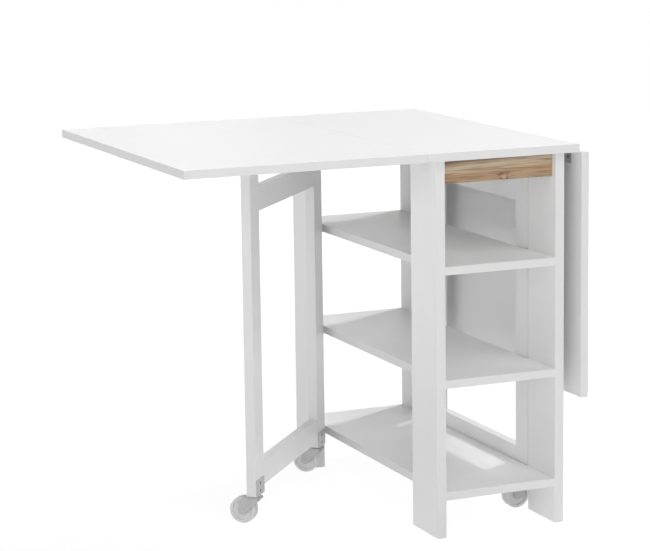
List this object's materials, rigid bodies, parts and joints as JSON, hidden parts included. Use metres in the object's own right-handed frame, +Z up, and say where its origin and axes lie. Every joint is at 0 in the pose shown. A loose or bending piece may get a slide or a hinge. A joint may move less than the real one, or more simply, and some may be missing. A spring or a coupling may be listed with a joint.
{
  "type": "rolling drop-leaf table",
  "caption": "Narrow shelf cabinet with a flat top, a hinged drop leaf on each long side and swinging gate legs on swivel casters that carry the raised leaves.",
  "frame": {"origin": "on the floor, under the middle of the table's overall box as it stands, left leaf raised and right leaf hanging", "axes": "+X from the raised leaf towards the hanging leaf, +Y along the cabinet's length, away from the picture's side, +Z up"},
  "size_m": [0.8264, 0.74, 0.75],
  "materials": {
    "white_board": "white melamine foil, satin",
    "oak_board": "light oak foil, satin",
    "hinge_steel": "zinc plated, satin",
    "screw_steel": "zinc plated",
    "caster_zinc": "zinc plated, satin",
    "cam_zinc": "die-cast, dull",
    "wheel_nylon": "light grey, slightly translucent",
    "beech_dowel": "bare, fluted"
  },
  "bodies": {
    "base": {"main_top": "white_board", "near_left_post": "white_board", "far_left_post": "white_board", "near_right_post": "white_board", "far_right_post": "white_board", "top_shelf": "white_board", "middle_shelf": "white_board", "bottom_shelf": "white_board", "near_apron": "oak_board", "far_apron": "oak_board", "left_leaf_hinge_top_plates": "hinge_steel", "right_leaf_hinge_top_plates": "hinge_steel", "left_leaf_hinge_pins": "hinge_steel", "right_leaf_hinge_pins": "hinge_steel", "left_gate_hinge_post_plates": "hinge_steel", "right_gate_hinge_post_plates": "hinge_steel", "left_gate_hinge_pins": "hinge_steel", "right_gate_hinge_pins": "hinge_steel", "cabinet_screws": "screw_steel", "cabinet_dowels": "beech_dowel", "cam_locks": "cam_zinc", "cam_bolts": "screw_steel"},
    "left_leaf": {"left_leaf": "white_board", "left_leaf_hinge_leaf_plates": "hinge_steel", "left_leaf_screws": "screw_steel"},
    "left_gate": {"left_gate_hinge_stile": "white_board", "left_gate_free_stile": "white_board", "left_gate_top_rail": "white_board", "left_gate_bottom_rail": "white_board", "left_gate_hinge_gate_plates": "hinge_steel", "left_gate_screws": "screw_steel", "left_gate_dowels": "beech_dowel", "left_gate_kingpins": "caster_zinc", "left_hinge_caster_bracket": "caster_zinc", "left_free_caster_bracket": "caster_zinc"},
    "left_hinge_caster_fork": {"left_hinge_caster_fork": "caster_zinc", "left_hinge_caster_axle": "caster_zinc"},
    "left_hinge_caster_wheel": {"left_hinge_caster_wheel": "wheel_nylon"},
    "left_free_caster_fork": {"left_free_caster_fork": "caster_zinc", "left_free_caster_axle": "caster_zinc"},
    "left_free_caster_wheel": {"left_free_caster_wheel": "wheel_nylon"},
    "right_leaf": {"right_leaf": "white_board", "right_leaf_hinge_leaf_plates": "hinge_steel", "right_leaf_screws": "screw_steel"},
    "right_gate": {"right_gate_hinge_stile": "white_board", "right_gate_free_stile": "white_board", "right_gate_top_rail": "white_board", "right_gate_bottom_rail": "white_board", "right_gate_hinge_gate_plates": "hinge_steel", "right_gate_screws": "screw_steel", "right_gate_dowels": "beech_dowel", "right_gate_kingpins": "caster_zinc", "right_hinge_caster_bracket": "caster_zinc", "right_free_caster_bracket": "caster_zinc"},
    "right_hinge_caster_fork": {"right_hinge_caster_fork": "caster_zinc", "right_hinge_caster_axle": "caster_zinc"},
    "right_hinge_caster_wheel": {"right_hinge_caster_wheel": "wheel_nylon"},
    "right_free_caster_fork": {"right_free_caster_fork": "caster_zinc", "right_free_caster_axle": "caster_zinc"},
    "right_free_caster_wheel": {"right_free_caster_wheel": "wheel_nylon"}
  },
  "joints": [
    {"name": "left_leaf_hinge", "type": "hinge", "parent": "base", "child": "left_leaf", "pos_m": [0.06745, 0, 0.73175], "axis": [0, 1, 0], "range_deg": [0, 1]},
    {"name": "right_leaf_hinge", "type": "hinge", "parent": "base", "child": "right_leaf", "pos_m": [0.39495, 0, 0.73175], "axis": [0, -1, 0], "range_deg": [0, 91]},
    {"name": "left_gate_hinge", "type": "hinge", "parent": "base", "child": "left_gate", "pos_m": [0.09145, 0.24075, 0.38], "axis": [0, 0, -1], "range_deg": [-40.8, 49.2]},
    {"name": "right_gate_hinge", "type": "hinge", "parent": "base", "child": "right_gate", "pos_m": [0.37095, -0.24075, 0.38], "axis": [0, 0, -1], "range_deg": [0, 3.5]},
    {"name": "left_hinge_caster_swivel", "type": "hinge", "parent": "left_gate", "child": "left_hinge_caster_fork", "pos_m": [0.08319, 0.2132, 0.0522], "axis": [0, 0, 1], "range_deg": [-8, 188]},
    {"name": "left_hinge_caster_spin", "type": "hinge", "parent": "left_hinge_caster_fork", "child": "left_hinge_caster_wheel", "pos_m": [0.06465, 0.22921, 0.0265], "axis": [-0.6534, -0.757, 0], "continuous": true},
    {"name": "left_free_caster_swivel", "type": "hinge", "parent": "left_gate", "child": "left_free_caster_fork", "pos_m": [-0.17883, -0.09035, 0.0522], "axis": [0, 0, 1], "continuous": true},
    {"name": "left_free_caster_spin", "type": "hinge", "parent": "left_free_caster_fork", "child": "left_free_caster_wheel", "pos_m": [-0.19738, -0.07434, 0.0265], "axis": [-0.6534, -0.757, 0], "continuous": true},
    {"name": "right_hinge_caster_swivel", "type": "hinge", "parent": "right_gate", "child": "right_hinge_caster_fork", "pos_m": [0.3592, -0.2145, 0.0522], "axis": [0, 0, 1], "range_deg": [-188, 8]},
    {"name": "right_hinge_caster_spin", "type": "hinge", "parent": "right_hinge_caster_fork", "child": "right_hinge_caster_wheel", "pos_m": [0.3347, -0.2145, 0.0265], "axis": [0, 1, 0], "continuous": true},
    {"name": "right_free_caster_swivel", "type": "hinge", "parent": "right_gate", "child": "right_free_caster_fork", "pos_m": [0.3592, 0.1865, 0.0522], "axis": [0, 0, 1], "continuous": true},
    {"name": "right_free_caster_spin", "type": "hinge", "parent": "right_free_caster_fork", "child": "right_free_caster_wheel", "pos_m": [0.3347, 0.1865, 0.0265], "axis": [0, 1, 0], "continuous": true}
  ]
}
